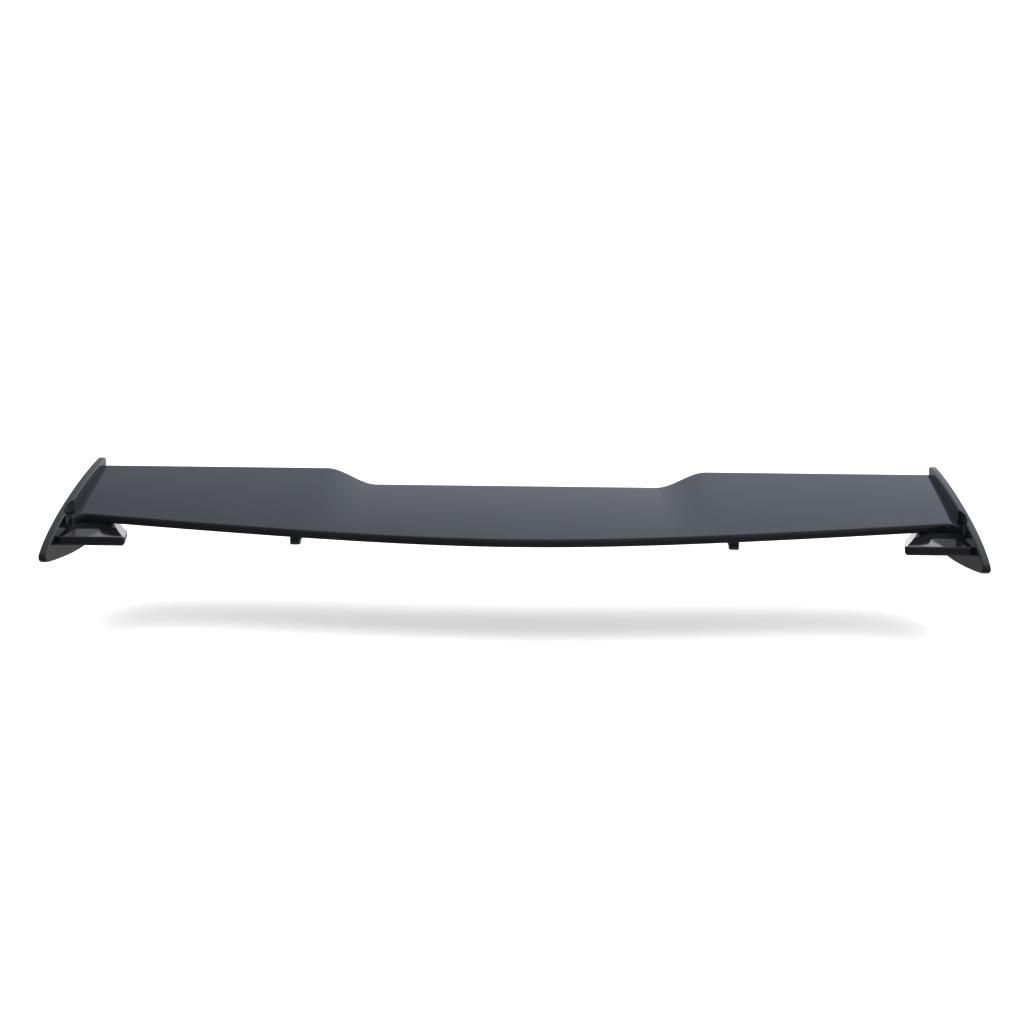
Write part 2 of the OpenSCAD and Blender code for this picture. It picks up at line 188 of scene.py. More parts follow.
# %% [markdown]
# ## The blade's rule
#
# The blade is one shape with a rule: at each place across the span there is a
# leading edge, a trailing edge, a height and a thickness. The leading edge bows
# forward, the middle of the trailing edge is stepped down and forward, and smooth
# shoulders join the two. It could be sculpted, or laid through guide curves, but
# Geometry Nodes hold the rule itself, so each number stays a named input.
#
# Math nodes are long-winded to add one at a time. The small class below lets a
# formula be written as a formula: each `+`, `-`, `*` and so on adds the node.

# %% Formulas that become Math nodes
class Term:
    """A number in a node tree. Arithmetic on it adds Math nodes."""

    def __init__(self, tree, socket):
        self.tree = tree
        self.socket = socket

    def math(self, operation, *others):
        node = self.tree.nodes.new("ShaderNodeMath")
        node.operation = operation
        for socket, value in zip(node.inputs, (self, *others)):
            if isinstance(value, Term):
                self.tree.links.new(value.socket, socket)
            else:
                socket.default_value = value
        return Term(self.tree, node.outputs[0])

    def __add__(self, other):
        return self.math("ADD", other)

    def __sub__(self, other):
        return self.math("SUBTRACT", other)

    def __mul__(self, other):
        return self.math("MULTIPLY", other)

    def __truediv__(self, other):
        return self.math("DIVIDE", other)

    def __pow__(self, other):
        return self.math("POWER", other)

    def clamped(self):
        return self.math("MAXIMUM", 0).math("MINIMUM", 1)


def new_tree(name, inputs):
    """A geometry tree with named float inputs. Returns it and the inputs as terms."""
    tree = bpy.data.node_groups.new(name, "GeometryNodeTree")
    tree.interface.new_socket("Geometry", in_out="OUTPUT", socket_type="NodeSocketGeometry")
    for label, value in inputs.items():
        socket = tree.interface.new_socket(label, in_out="INPUT", socket_type="NodeSocketFloat")
        socket.default_value = value
    entry = tree.nodes.new("NodeGroupInput")
    return tree, {label: Term(tree, entry.outputs[label]) for label in inputs}


def close_tree(tree, geometry, material):
    """Ends a tree with Realize Instances and Set Material."""
    real = tree.nodes.new("GeometryNodeRealizeInstances")
    painted = tree.nodes.new("GeometryNodeSetMaterial")
    painted.inputs["Material"].default_value = material
    result = tree.nodes.new("NodeGroupOutput")
    tree.links.new(geometry, real.inputs["Geometry"])
    tree.links.new(real.outputs["Geometry"], painted.inputs["Geometry"])
    tree.links.new(painted.outputs["Geometry"], result.inputs["Geometry"])


def grow(name, tree, inputs):
    """A new object that carries the tree, with its inputs set by identifier."""
    obj = bpy.data.objects.new(name, bpy.data.meshes.new(name))
    bpy.context.scene.collection.objects.link(obj)
    modifier = obj.modifiers.new("rule", "NODES")
    modifier.node_group = tree
    for item in tree.interface.items_tree:
        if item.in_out == "INPUT":
            modifier[item.identifier] = float(inputs[item.name])
    return obj


# %% [markdown]
# The sizes below are the blade's own, in metres. The width comes from the measured
# parts, so the blade ends exactly at the endplates' inner faces.

# %% The blade's sizes
PLATE_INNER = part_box("endplate_right")[0].x
PLATE_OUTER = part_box("endplate_right")[1].x
GAP = 0.3 * MM
blade_sizes = {
    "End": PLATE_INNER - GAP,
    "Trailing Height": 109 * MM,
    "Trailing Y": 216 * MM,
    "Leading Y": 23 * MM,
    "Slope": math.tan(math.radians(19.2)),
    "Bow": 78 * MM,
    "Bend": 300 * MM,
    "Leading Thickness": 12 * MM,
    "Greatest Thickness": 17 * MM,
    "Trailing Thickness": 7 * MM,
    "Thickest At": 0.35,
    "Camber": 2 * MM,
    "Recess Inner": 222 * MM,
    "Recess Outer": 304 * MM,
    "Recess Cut": 25 * MM,
    "Recess Dip": 16 * MM,
    "Dip Power": 1.3,
    "Front Lip": 8 * MM,
    "Rear Lip": 10 * MM,
    "End Fillet": 26 * MM,
    "End Sweep": 13 * MM,
}
SKIN_WALL = 2.4 * MM
EDGE_RADIUS = 2.7 * MM
STATIONS = 421
CHORD_ROWS = 26
CROWDING = 0.36
print("blade width in mm:", round(2 * blade_sizes["End"] / MM, 1))

# %% [markdown]
# A flat grid is bent into the skin. Its long direction becomes the span, with the
# stations crowded towards the ends, where a fillet sweeps the leading edge forward
# into the endplate. Its short direction becomes the chord. On the upper skin four
# more rows fold round the blunt edges: down the front face, back under it as a
# lip, and the same at the rear. The lower skin fills the space between the lips.

# %% The skin's node tree
def skin_tree(name, lower, material):
    tree, size = new_tree(name, blade_sizes)
    extra = 0 if lower else 2
    rows = CHORD_ROWS + 1 + 2 * extra
    grid = tree.nodes.new("GeometryNodeMeshGrid")
    grid.inputs["Size X"].default_value = 2
    grid.inputs["Size Y"].default_value = 1
    grid.inputs["Vertices X"].default_value = STATIONS
    grid.inputs["Vertices Y"].default_value = rows
    split = tree.nodes.new("ShaderNodeSeparateXYZ")
    tree.links.new(tree.nodes.new("GeometryNodeInputPosition").outputs[0], split.inputs[0])
    across = Term(tree, split.outputs["X"])
    row = ((Term(tree, split.outputs["Y"]) + 0.5) * (rows - 1)).math("ROUND")

    stretch = across * across * -CROWDING + (1 + CROWDING)
    x = across * stretch * size["End"]
    away = x.math("ABSOLUTE")
    shoulder = tree.nodes.new("ShaderNodeMapRange")
    shoulder.interpolation_type = "SMOOTHSTEP"
    tree.links.new(away.socket, shoulder.inputs["Value"])
    tree.links.new(size["Recess Inner"].socket, shoulder.inputs["From Min"])
    tree.links.new(size["Recess Outer"].socket, shoulder.inputs["From Max"])
    recess = Term(tree, shoulder.outputs["Result"]) * -1 + 1

    bend = size["Bend"]
    reach = (x * x + bend * bend).math("SQRT") - bend
    full_reach = (size["End"] * size["End"] + bend * bend).math("SQRT") - bend
    leading = size["Leading Y"] - size["Bow"] * (reach / full_reach * -1 + 1)
    trailing = size["Trailing Y"] - size["Recess Cut"] * recess
    chord = trailing - leading

    share = ((row - extra) / CHORD_ROWS).clamped()
    front_lip = size["Front Lip"]
    rear_lip = size["Rear Lip"]
    if lower:
        dropped = share * 0 + 1
        start = front_lip + GAP
        y = leading + start + share * (chord - start - rear_lip - GAP)
    else:
        dropped = row.math("LESS_THAN", 1.5) + row.math("GREATER_THAN", 2.5 + CHORD_ROWS)
        folded = front_lip * row.math("LESS_THAN", 0.5)
        folded = folded - rear_lip * row.math("GREATER_THAN", 3.5 + CHORD_ROWS)
        fillet = size["End Fillet"]
        into = ((away - size["End"] + fillet) / fillet).clamped()
        nose = row.math("LESS_THAN", 2.5) * row.math("GREATER_THAN", 0.5)
        y = leading + share * chord + folded - size["End Sweep"] * into ** 3 * nose

    u = ((y - leading) / chord).clamped()
    crown = size["Camber"] * (u * math.pi).math("SINE")
    dip = size["Recess Dip"] * recess * u ** size["Dip Power"]
    top = size["Trailing Height"] + (y - size["Trailing Y"]) * size["Slope"] + crown - dip
    peak = size["Thickest At"]
    fullest = size["Greatest Thickness"]
    ahead = size["Leading Thickness"] + (fullest - size["Leading Thickness"]) * (
        u / peak * (math.pi / 2)).math("SINE")
    behind = size["Trailing Thickness"] + (fullest - size["Trailing Thickness"]) * (
        (u - peak) / (peak * -1 + 1) * (math.pi / 2)).math("COSINE")
    thickness = behind + u.math("LESS_THAN", peak) * (ahead - behind)
    z = top - thickness * dropped

    joined = tree.nodes.new("ShaderNodeCombineXYZ")
    for socket, value in zip(joined.inputs, (x, y, z)):
        tree.links.new(value.socket, socket)
    placed = tree.nodes.new("GeometryNodeSetPosition")
    tree.links.new(grid.outputs["Mesh"], placed.inputs["Geometry"])
    tree.links.new(joined.outputs[0], placed.inputs["Position"])
    geometry = placed.outputs["Geometry"]
    if lower:
        flip = tree.nodes.new("GeometryNodeFlipFaces")
        tree.links.new(geometry, flip.inputs["Mesh"])
        geometry = flip.outputs["Mesh"]
    close_tree(tree, geometry, material)
    return tree


# %% [markdown]
# The tree gives a sheet with no thickness. A Bevel rounds the four long corners,
# a Solidify gives the wall, inwards, and Weighted Normal keeps the broad surface
# calm beside the tight rounds, so a reflection runs true right up to the edge.
# The result is then made a plain mesh.

# %% Helpers that finish a piece
SMOOTH_ANGLE = math.radians(32)


def settle(obj):
    """Makes the modifiers' result the object's own plain mesh."""
    depsgraph = bpy.context.evaluated_depsgraph_get()
    mesh = bpy.data.meshes.new_from_object(obj.evaluated_get(depsgraph))
    obj.modifiers.clear()
    obj.data = mesh
    mesh.name = obj.name


def round_edges(obj, radius, segments=4, angle=SMOOTH_ANGLE, clamp=True):
    bevel = obj.modifiers.new("round", "BEVEL")
    bevel.width = radius
    bevel.segments = segments
    bevel.limit_method = "ANGLE"
    bevel.angle_limit = angle
    bevel.use_clamp_overlap = clamp


def shade(obj):
    """Smooth shading that stays crisp at hard corners and flat on broad faces."""
    bm = bmesh.new()
    bm.from_mesh(obj.data)
    bmesh.ops.remove_doubles(bm, verts=bm.verts, dist=0.002 * MM)
    bmesh.ops.recalc_face_normals(bm, faces=bm.faces)
    bm.to_mesh(obj.data)
    bm.free()
    obj.data.shade_smooth()
    obj.data.set_sharp_from_angle(angle=SMOOTH_ANGLE)
    weighted = obj.modifiers.new("calm", "WEIGHTED_NORMAL")
    weighted.keep_sharp = True
    settle(obj)


def hand_over(obj, material, slot, *nodes):
    """The piece takes its finish, rides on the wing and stands for its CAD nodes."""
    obj.data.materials.clear()
    obj.data.materials.append(material)
    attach(obj, "root")
    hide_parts(*nodes)
    triangles = sum(len(p.vertices) - 2 for p in obj.data.polygons)
    print(obj.name, "triangles:", triangles)


# %% Upper skin
upper_skin = grow(
    "upper_skin", skin_tree("upper_skin_rule", False, gloss_black), blade_sizes)
round_edges(upper_skin, EDGE_RADIUS, segments=4, angle=math.radians(40))
wall = upper_skin.modifiers.new("wall", "SOLIDIFY")
wall.thickness = SKIN_WALL
wall.offset = -1
settle(upper_skin)
# The wall follows the sweep's slope at the ends, so its corners are pulled back flush.
for vertex in upper_skin.data.vertices:
    vertex.co.x = max(-blade_sizes["End"], min(blade_sizes["End"], vertex.co.x))
shade(upper_skin)

# %% [markdown]
# The lower skin has six holes, four for the bolts that tie the feet to the blade
# and two for the pegs' screws. A Boolean with six plain rods drills them. The rods
# stand where the measured bolts and screws stand.

# %% Lower skin
def rod(radius, start, end, sides=40):
    """A closed round rod from one point to another, as a bmesh."""
    bm = bmesh.new()
    way = Vector(end) - Vector(start)
    middle = (Vector(start) + Vector(end)) / 2
    turn = way.to_track_quat("Z", "Y").to_matrix().to_4x4()
    bmesh.ops.create_cone(
        bm, cap_ends=True, segments=sides, radius1=radius, radius2=radius,
        depth=way.length, matrix=Matrix.Translation(middle) @ turn)
    return bm


def object_of(name, shapes):
    """One object from a list of bmeshes."""
    mesh = bpy.data.meshes.new(name)
    whole = bmesh.new()
    for bm in shapes:
        bm.to_mesh(mesh)
        whole.from_mesh(mesh)
        bm.free()
    whole.to_mesh(mesh)
    whole.free()
    obj = bpy.data.objects.new(name, mesh)
    bpy.context.scene.collection.objects.link(obj)
    return obj


def cut(obj, cutter):
    """Takes the cutter's shape out of the object and throws the cutter away."""
    boolean = obj.modifiers.new("cut", "BOOLEAN")
    boolean.operation = "DIFFERENCE"
    boolean.solver = "EXACT"
    boolean.use_self = True
    boolean.object = cutter
    settle(obj)
    bpy.data.objects.remove(cutter)


def middle_of(node):
    low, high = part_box(node)
    return (low + high) / 2


TIE_HALF_GAP = 16 * MM
HOLE_RADIUS = 3.5 * MM
PEG_HOLE_RADIUS = 3 * MM
ABOVE_BLADE = 120 * MM
lower_skin = grow(
    "lower_skin", skin_tree("lower_skin_rule", True, satin_black), blade_sizes)
wall = lower_skin.modifiers.new("wall", "SOLIDIFY")
wall.thickness = SKIN_WALL
wall.offset = -1
settle(lower_skin)
holes = []
for side in SIDES:
    tie = middle_of("tie_bolts_" + side)
    screw = middle_of("peg_screw_" + side)
    for y in (tie.y - TIE_HALF_GAP, tie.y + TIE_HALF_GAP):
        holes.append(rod(HOLE_RADIUS, (tie.x, y, 0), (tie.x, y, ABOVE_BLADE)))
    holes.append(rod(PEG_HOLE_RADIUS, (screw.x, screw.y, 0), (screw.x, screw.y, ABOVE_BLADE)))
cut(lower_skin, object_of("drills", holes))
shade(lower_skin)
skins_below = [BVHTree.FromPolygons(
    [v.co for v in skin.data.vertices], [p.vertices for p in skin.data.polygons])
    for skin in (upper_skin, lower_skin)]
hand_over(upper_skin, gloss_black, "gloss_shell", "blade_upper_skin")
hand_over(lower_skin, satin_black, "satin_shell", "blade_lower_skin")

# %% [markdown]
# ## The endplates
#
# Each endplate is a flat leaf, 12 mm thick, with well-rounded edges. Its outline is
# five curves that run on from each other, so it can be drawn as finely as wished.
# The leaf is extruded, its rim is rounded, and then a shallow scoop is taken out of
# the inner top edge and three seats for the screws' caps out of the outer face.
# Rounding comes before cutting, because a bevel runs best on an unbroken rim.

# %% The leaf's outline
def curve(a, b, c, d, steps):
    """Points along a cubic curve, without its last one."""
    a, b, c, d = (Vector(p) for p in (a, b, c, d))
    points = []
    for i in range(steps):
        t = i / steps
        v = 1 - t
        points.append(a * v**3 + b * 3 * v * v * t + c * 3 * v * t * t + d * t**3)
    return points


TAIL_TIP = (222, 121)
TAIL_LOW = (226, 108)
NOSE_TOP = (-124, -9)
NOSE_LOW = (-108, -22)
BELLY = (80, -14)
leaf = (
    curve(TAIL_TIP, (125, 100), (-70, 38), NOSE_TOP, 64)
    + curve(NOSE_TOP, (-130, -15), (-128, -22), NOSE_LOW, 14)
    + curve(NOSE_LOW, (-60, -22), (20, -20), BELLY, 26)
    + curve(BELLY, (150, -7), (222, 40), TAIL_LOW, 36)
    + curve(TAIL_LOW, (227, 116), (226, 121), TAIL_TIP, 8)
)
RIM_RADIUS = 2.4 * MM
print("outline points:", len(leaf))

# %% Endplates
SCOOP_LENGTH = 52 * MM
SCOOP_DEPTH = 6 * MM
SCOOP_DROP = 17 * MM
SCOOP_AT = (0.0, 50.5 * MM)
SCOOP_SLOPE = math.radians(19)
SCOOP_RADIUS = ((SCOOP_LENGTH / 2) ** 2 + SCOOP_DEPTH**2) / (2 * SCOOP_DEPTH)
SEAT_DEPTH = 6 * MM
SEAT_RADIUS = 7 * MM
BORE_RADIUS = 2.8 * MM
CUT_EDGE_RADIUS = 0.5 * MM
SCREW_YS = [y * MM for y in (52, 96, 140)]


def screw_point(y):
    """Height of an endplate screw, half-way through the blade's end."""
    u = (y - blade_sizes["Leading Y"]) / (blade_sizes["Trailing Y"] - blade_sizes["Leading Y"])
    peak = blade_sizes["Thickest At"]
    fullest = blade_sizes["Greatest Thickness"]
    if u < peak:
        thin, turn = blade_sizes["Leading Thickness"], math.sin(math.pi / 2 * u / peak)
    else:
        thin = blade_sizes["Trailing Thickness"]
        turn = math.cos(math.pi / 2 * (u - peak) / (1 - peak))
    top = blade_sizes["Trailing Height"] + (y - blade_sizes["Trailing Y"]) * blade_sizes["Slope"]
    top += blade_sizes["Camber"] * math.sin(math.pi * u)
    return top - (thin + (fullest - thin) * turn) / 2


def prism(outline, x0, x1):
    """A closed slab from x0 to x1 with a Y-Z outline in metres."""
    bm = bmesh.new()
    near = [bm.verts.new((x0, p[0], p[1])) for p in outline]
    far = [bm.verts.new((x1, p[0], p[1])) for p in outline]
    bm.faces.new(near)
    bm.faces.new(far)
    for i in range(len(outline)):
        k = (i + 1) % len(outline)
        bm.faces.new((near[i], near[k], far[k], far[i]))
    bmesh.ops.recalc_face_normals(bm, faces=bm.faces)
    return bm


def endplate(side, sign):
    inner = sign * PLATE_INNER
    outer = sign * PLATE_OUTER
    slab = prism([p * MM for p in leaf], inner, outer)
    rim = [e for e in slab.edges if abs(e.verts[0].co.x - e.verts[1].co.x) < 0.1 * MM]
    bmesh.ops.bevel(slab, geom=rim, offset=RIM_RADIUS, segments=4, profile=0.5,
                    affect="EDGES", clamp_overlap=True)
    plate = object_of("plate_" + side, [slab])
    scoop = bmesh.new()
    centre = Vector((sign * (PLATE_INNER + SCOOP_DEPTH - SCOOP_RADIUS), *SCOOP_AT))
    bmesh.ops.create_cone(
        scoop, cap_ends=True, segments=220, radius1=SCOOP_RADIUS, radius2=SCOOP_RADIUS,
        depth=2 * SCOOP_DROP,
        matrix=Matrix.Translation(centre) @ Matrix.Rotation(SCOOP_SLOPE, 4, "X"))
    tools = [scoop]
    for y in SCREW_YS:
        z = screw_point(y)
        tools.append(rod(BORE_RADIUS, (inner - sign * MM, y, z), (outer - sign * MM, y, z)))
        seat_floor = outer - sign * SEAT_DEPTH
        tools.append(rod(SEAT_RADIUS, (seat_floor, y, z), (outer + sign * MM, y, z), 64))
    cut(plate, object_of("plate_tools", tools))
    round_edges(plate, CUT_EDGE_RADIUS, segments=2, angle=math.radians(40), clamp=False)
    settle(plate)
    shade(plate)
    hand_over(plate, gloss_black, "gloss_shell", "endplate_" + side)


for side, sign in SIDES.items():
    endplate(side, sign)

# %% [markdown]
# ## Screw caps
#
# Three small plugs hide the screws in each endplate. They are all alike, so one is
# made and the nodes set it down at each point. Its shape is a ball pushed out
# towards a cylinder: with a high power the sides turn flat and only the rim stays
# round, which is just how a small pressed-in plug looks.

# %% Screw caps
CAP_RADIUS = 6.85 * MM
CAP_THICKNESS = 1.8 * MM
CAP_POWER = 7.0
CAP_SET = 0.15 * MM


def cap_tree(side, sign):
    tree, size = new_tree(
        "screw_caps_rule_" + side,
        {"Radius": CAP_RADIUS, "Thickness": CAP_THICKNESS, "Power": CAP_POWER})
    ball = tree.nodes.new("GeometryNodeMeshUVSphere")
    ball.inputs["Segments"].default_value = 40
    ball.inputs["Rings"].default_value = 24
    ball.inputs["Radius"].default_value = 1
    split = tree.nodes.new("ShaderNodeSeparateXYZ")
    tree.links.new(tree.nodes.new("GeometryNodeInputPosition").outputs[0], split.inputs[0])
    x, y, z = (Term(tree, split.outputs[axis]) for axis in "XYZ")
    power = size["Power"]
    out = (x * x + y * y).math("SQRT")
    push = (out ** power + z.math("ABSOLUTE") ** power) ** (power ** -1 * -1)
    joined = tree.nodes.new("ShaderNodeCombineXYZ")
    axes = (z * push * size["Thickness"] * 0.5, x * push * size["Radius"], y * push * size["Radius"])
    for socket, value in zip(joined.inputs, axes):
        tree.links.new(value.socket, socket)
    shaped = tree.nodes.new("GeometryNodeSetPosition")
    tree.links.new(ball.outputs["Mesh"], shaped.inputs["Geometry"])
    tree.links.new(joined.outputs[0], shaped.inputs["Position"])
    places = tree.nodes.new("GeometryNodeJoinGeometry")
    for spot_y in SCREW_YS:
        spot = tree.nodes.new("GeometryNodePoints")
        middle = sign * (PLATE_OUTER - CAP_THICKNESS / 2 - CAP_SET)
        spot.inputs["Position"].default_value = (middle, spot_y, screw_point(spot_y))
        tree.links.new(spot.outputs[0], places.inputs[0])
    stamp = tree.nodes.new("GeometryNodeInstanceOnPoints")
    tree.links.new(places.outputs[0], stamp.inputs["Points"])
    tree.links.new(shaped.outputs["Geometry"], stamp.inputs["Instance"])
    close_tree(tree, stamp.outputs[0], gloss_black)
    return tree


for side, sign in SIDES.items():
    caps = grow("caps_" + side, cap_tree(side, sign),
                {"Radius": CAP_RADIUS, "Thickness": CAP_THICKNESS, "Power": CAP_POWER})
    settle(caps)
    shade(caps)
    hand_over(caps, gloss_black, "gloss_shell", "screw_caps_" + side)

# %% [markdown]
# ## The legs
#
# Each leg is a faceted block that flares out towards its base. Seven corners are
# joined by straight facets, and each corner climbs from its place on the base to
# its place under the blade. Some climb straight; the two inner ones follow a
# curve, which gives the flare. Stacking rings of corners makes the skin, and a
# small bevel on the ridges catches the light as a moulded edge does.

# %% Legs
PAD_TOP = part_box("foot_pad_right")[1].z
PAD_OUT = PLATE_INNER - GAP
PAD_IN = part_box("foot_pad_right")[0].x
LEG_RINGS = 16
LEG_WALL = 3.5 * MM
HOLLOW_X = 629 * MM
INSET = 2 * MM
PAD_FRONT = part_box("foot_pad_right")[0].y
PAD_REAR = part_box("foot_pad_right")[1].y
FOOT_TAPER = 33 * MM
RIDGE_RADIUS = 0.9 * MM


def pad_edge(y):
    """Where the slanted inner side of a foot runs, narrower towards the rear."""
    return PAD_IN + FOOT_TAPER * (y - PAD_FRONT) / (PAD_REAR - PAD_FRONT)


# base x, base y, top x, top y, flare
leg_corners = [
    (PAD_OUT, -58 * MM, PAD_OUT, 26 * MM, 1),
    (653 * MM, -73 * MM, 640 * MM, 25 * MM, 1),
    (597 * MM, -73 * MM, 629 * MM, 25 * MM, 1),
    (pad_edge(-66 * MM) + INSET, -66 * MM, 608 * MM, 39 * MM, 1.9),
    (pad_edge(80 * MM) + INSET, 80 * MM, 625 * MM, 100 * MM, 1.9),
    (pad_edge(92 * MM) + 5 * INSET, 92 * MM, 632 * MM, 114 * MM, 1.9),
    (PAD_OUT, 92 * MM, PAD_OUT, 114 * MM, 1),
]


def underside(x, y):
    """Height of the blade's underside over a point, found by looking up from below."""
    inside_x = min(x, PAD_OUT - 2 * MM)
    start = Vector((inside_x, y, -50 * MM))
    hits = [tree.ray_cast(start, Vector((0, 0, 1)))[0] for tree in skins_below]
    return min(hit.z for hit in hits if hit)


def leg_point(corner, t):
    base_x, base_y, top_x, top_y, flare = corner
    way = 1 - (1 - t) ** flare
    roof = underside(top_x, top_y) - GAP
    return (base_x + (top_x - base_x) * way, base_y + (top_y - base_y) * way,
            PAD_TOP + (roof - PAD_TOP) * t)


def leg(side, sign):
    bm = bmesh.new()
    rings = []
    for i in range(LEG_RINGS + 1):
        ring = [leg_point(corner, i / LEG_RINGS) for corner in leg_corners]
        rings.append([bm.verts.new((sign * x, y, z)) for x, y, z in ring])
    count = len(leg_corners)
    for lower, upper in zip(rings, rings[1:]):
        for j in range(count):
            k = (j + 1) % count
            bm.faces.new((lower[j], lower[k], upper[k], upper[j]))
    ridges = [bm.edges.get((a[j], b[j])) for a, b in zip(rings, rings[1:]) for j in range(count)]
    bm.faces.new(rings[0])
    bmesh.ops.triangulate(bm, faces=[bm.faces.new(rings[-1])])
    bmesh.ops.recalc_face_normals(bm, faces=bm.faces)
    bmesh.ops.bevel(bm, geom=ridges, offset=RIDGE_RADIUS, segments=3, profile=0.5,
                    affect="EDGES", clamp_overlap=True)
    piece = object_of("leg_" + side, [bm])
    tie = middle_of("tie_bolts_" + side)
    roof_front = underside(abs(tie.x), 34 * MM) - GAP - LEG_WALL
    roof_back = underside(abs(tie.x), 104 * MM) - GAP - LEG_WALL
    floor = PAD_TOP - MM
    hollow = [(12 * MM, floor), (84 * MM, floor), (84 * MM, PAD_TOP + 8 * MM),
              (104 * MM, roof_back), (34 * MM, roof_front)]
    tools = [prism(hollow, sign * HOLLOW_X, sign * (PAD_OUT - LEG_WALL))]
    for y in (tie.y - TIE_HALF_GAP, tie.y + TIE_HALF_GAP):
        tools.append(rod(HOLE_RADIUS, (tie.x, y, PAD_TOP), (tie.x, y, ABOVE_BLADE)))
    cut(piece, object_of("leg_tools", tools))
    shade(piece)
    hand_over(piece, gloss_black, "gloss_shell", "foot_leg_" + side)


for side, sign in SIDES.items():
    leg(side, sign)

# %% [markdown]
# ## Pads, gaskets, pegs and their tips
#
# These are plain moulded blocks whose measured shape is already right. What they
# lack is the soft edge that every moulding has. So each is copied, its loose
# triangles are welded and merged into whole faces, and only the outer edges, not
# the rims of bores, are rounded.

# %% Pads and pegs
def rounded_copy(node, name, radius, segments, is_outer):
    """A copy of a CAD node with the edges that is_outer picks rounded."""
    bm = bmesh.new()
    bm.from_mesh(frame["nodes"][node].data)
    bmesh.ops.remove_doubles(bm, verts=bm.verts, dist=0.005 * MM)
    bmesh.ops.dissolve_limit(
        bm, angle_limit=math.radians(1), verts=bm.verts, edges=bm.edges)
    picked = [e for e in bm.edges
              if e.is_manifold and e.calc_face_angle() > math.radians(30) and is_outer(e)]
    bmesh.ops.bevel(bm, geom=picked, offset=radius, segments=segments, profile=0.5,
                    affect="EDGES", clamp_overlap=True)
    return object_of(name, [bm])


def clear_of(bores, reach):
    """Picks edges whose two ends both keep away from every bore's axis."""
    def clear(p):
        return all(math.hypot(p.x - x, p.y - y) > reach for x, y in bores)

    return lambda edge: all(clear(v.co) for v in edge.verts)


INSERT_HALF_GAP = 50 * MM
for side in SIDES:
    tie = middle_of("tie_bolts_" + side)
    insert = middle_of("foot_inserts_" + side)
    screw = middle_of("peg_screw_" + side)
    foot_bores = [(tie.x, tie.y + k * TIE_HALF_GAP) for k in (-1, 1)]
    foot_bores += [(insert.x, insert.y + k * INSERT_HALF_GAP) for k in (-1, 1)]
    peg_bores = [(screw.x, screw.y)]
    for node, name, radius, segments, bores, reach, finish, slot in (
            ("foot_pad_", "pad_", 1.6, 3, foot_bores, 7, foot_black, "foot_plastic"),
            ("foot_gasket_", "gasket_", 0.4, 2, foot_bores, 7, seal_rubber, "seal_rubber"),
            ("support_peg_", "peg_", 1.0, 3, peg_bores, 5, foot_black, "foot_plastic"),
            ("peg_tip_", "tip_", 0.6, 2, peg_bores, 5, seal_rubber, "seal_rubber")):
        piece = rounded_copy(node + side, name + side, radius * MM, segments,
                             clear_of(bores, reach * MM))
        shade(piece)
        hand_over(piece, finish, slot, node + side)

# %% [markdown]
# ## Parts that stay as measured
#
# Webs, ribs, blocks, inserts and screws are hidden inside or seen only from below.
# Their measured shapes are already right, so they only get their finish.

# %% Finishes on the measured parts
finish_of_slot = {
    "satin_shell": satin_black,
    "gloss_shell": gloss_black,
    "foot_plastic": foot_black,
    "seal_rubber": seal_rubber,
    "brass_insert": turned_brass,
    "zinc_steel": zinc_steel,
}
kept = 0
for part in frame["record"]["subparts"]:
    node = frame["nodes"][part["node"]]
    if not node.hide_render:
        node.data.materials.clear()
        node.data.materials.append(finish_of_slot[part["material_slot"]])
        kept += 1
print("measured parts kept:", kept)

# %% [markdown]
# ## Floor, room and light
#
# Gloss black shows nothing but its surroundings, so the room is the real light
# here. In reflections it is brightest just above the horizon behind the wing, cooler
# and dimmer higher up, and dim in front and below. The floor is left out of them and
# slopes gently. The broad blade then reads as mid grey and the edges
# that face forward as black. Everything else sees plain white, so the floor stays
# neutral. One very wide lamp, which reflections leave out, gives the soft shadow.

# %% Floor
FLOOR_DROP = 0.135
FLOOR_HALF = 6.0
FLOOR_SLOPE = math.radians(8)
FLOOR_REAR = 1.2
floor_mesh = bmesh.new()
bmesh.ops.create_grid(
    floor_mesh, x_segments=2, y_segments=2, size=FLOOR_HALF,
    matrix=Matrix.Translation((0, 0, -FLOOR_DROP)) @ Matrix.Rotation(FLOOR_SLOPE, 4, "X")
    @ Matrix.Translation((0, FLOOR_REAR - FLOOR_HALF, 0)))
floor = object_of("floor", [floor_mesh])
floor.visible_glossy = False
floor_white = bpy.data.materials.new("floor_white")
floor_white.use_nodes = True
floor_shader = floor_white.node_tree.nodes["Principled BSDF"]
floor_shader.inputs["Base Color"].default_value = (0.95, 0.95, 0.95, 1)
floor_shader.inputs["Roughness"].default_value = 0.9
floor_shader.inputs["Specular IOR Level"].default_value = 0.1
floor.data.materials.append(floor_white)
print("floor below the lid by mm:", round(FLOOR_DROP / MM))

# %% [markdown]
# The room is a world shader. A ramp gives its colour by height. Three factors then
# set how bright each direction is: facing dims the front, tilt makes the right
# brighter than the left, and rising dims what lies below the horizon. Only
# reflections see these. All other rays see plain white.

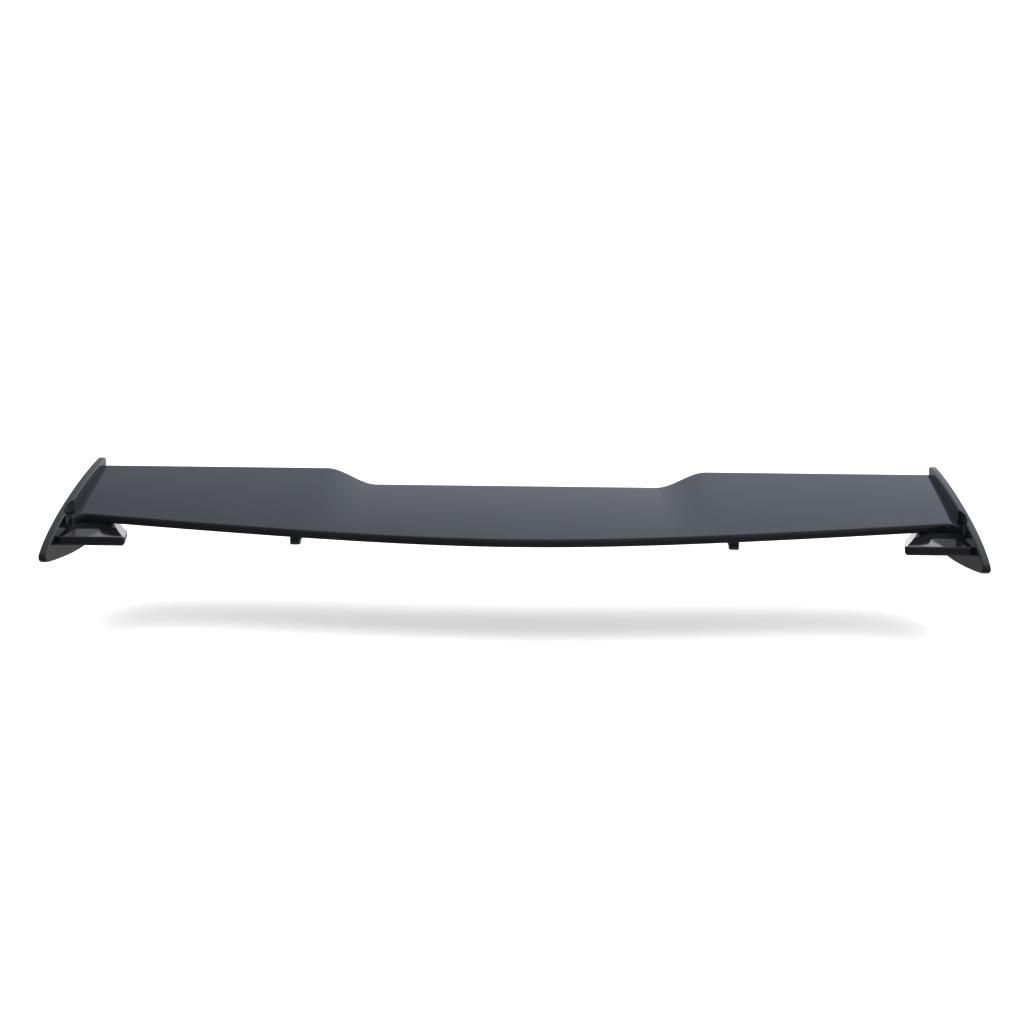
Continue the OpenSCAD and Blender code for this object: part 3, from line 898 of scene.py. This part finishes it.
# %% Room
PLAIN_STRENGTH = 1.6
world = bpy.data.worlds.new("white_room")
bpy.context.scene.world = world
world.use_nodes = True
room = world.node_tree
background = room.nodes["Background"]
direction = room.nodes.new("ShaderNodeTexCoord").outputs["Generated"]
split = room.nodes.new("ShaderNodeSeparateXYZ")
room.links.new(direction, split.inputs[0])
by_height = room.nodes.new("ShaderNodeValToRGB")
ramp = by_height.color_ramp
ramp.elements[0].position = 0.0
ramp.elements[0].color = (1.0, 1.0, 1.0, 1)
ramp.elements[1].position = 0.26
ramp.elements[1].color = (1.0, 1.0, 1.0, 1)
for position, colour in (
        (0.38, (0.80, 0.82, 0.87)), (0.48, (0.55, 0.59, 0.69)),
        (0.58, (0.57, 0.62, 0.73)), (0.70, (0.60, 0.66, 0.78)), (1.0, (0.80, 0.82, 0.88))):
    stop = ramp.elements.new(position)
    stop.color = (*colour, 1)
room.links.new(split.outputs["Z"], by_height.inputs["Fac"])
height = Term(room, split.outputs["Z"])
near_side = Term(room, split.outputs["Y"])
sideways = Term(room, split.outputs["X"])
facing = ((near_side + 0.45) / 0.6).clamped() * 0.66 + 0.34
tilt = (sideways * 1.1 + 1.0).math("MAXIMUM", 0.2)
rising = ((height + 0.04) / 0.04).clamped() * 0.8 + 0.2
glossy = Term(room, room.nodes.new("ShaderNodeLightPath").outputs["Is Glossy Ray"])
strength = (glossy * -1 + 1) * PLAIN_STRENGTH + glossy * facing * tilt * rising
mix = room.nodes.new("ShaderNodeMix")
mix.data_type = "RGBA"
colours = [s for s in mix.inputs if s.type == "RGBA"]
colours[0].default_value = (1, 1, 1, 1)
room.links.new(by_height.outputs["Color"], colours[1])
room.links.new(glossy.socket, mix.inputs[0])
mixed = [s for s in mix.outputs if s.type == "RGBA"][0]
room.links.new(mixed, background.inputs["Color"])
room.links.new(strength.socket, background.inputs["Strength"])
print("room:", world.name, "with", len(ramp.elements), "colours by height")

# %% [markdown]
# The lamp stands for a very large soft light overhead. A sun with a wide angle
# needs no place or size, and its shadow fades with distance as the real one does.

# %% Lamp
lamp_data = bpy.data.lights.new("overhead", "SUN")
lamp_data.angle = math.radians(80)
lamp_data.energy = 1.3
lamp = bpy.data.objects.new("overhead", lamp_data)
lamp.location = (0, 0, 2)
lamp.visible_glossy = False
bpy.context.scene.collection.objects.link(lamp)
bpy.context.scene.view_settings.view_transform = "Standard"
print("lamp angle in degrees:", round(math.degrees(lamp_data.angle)))
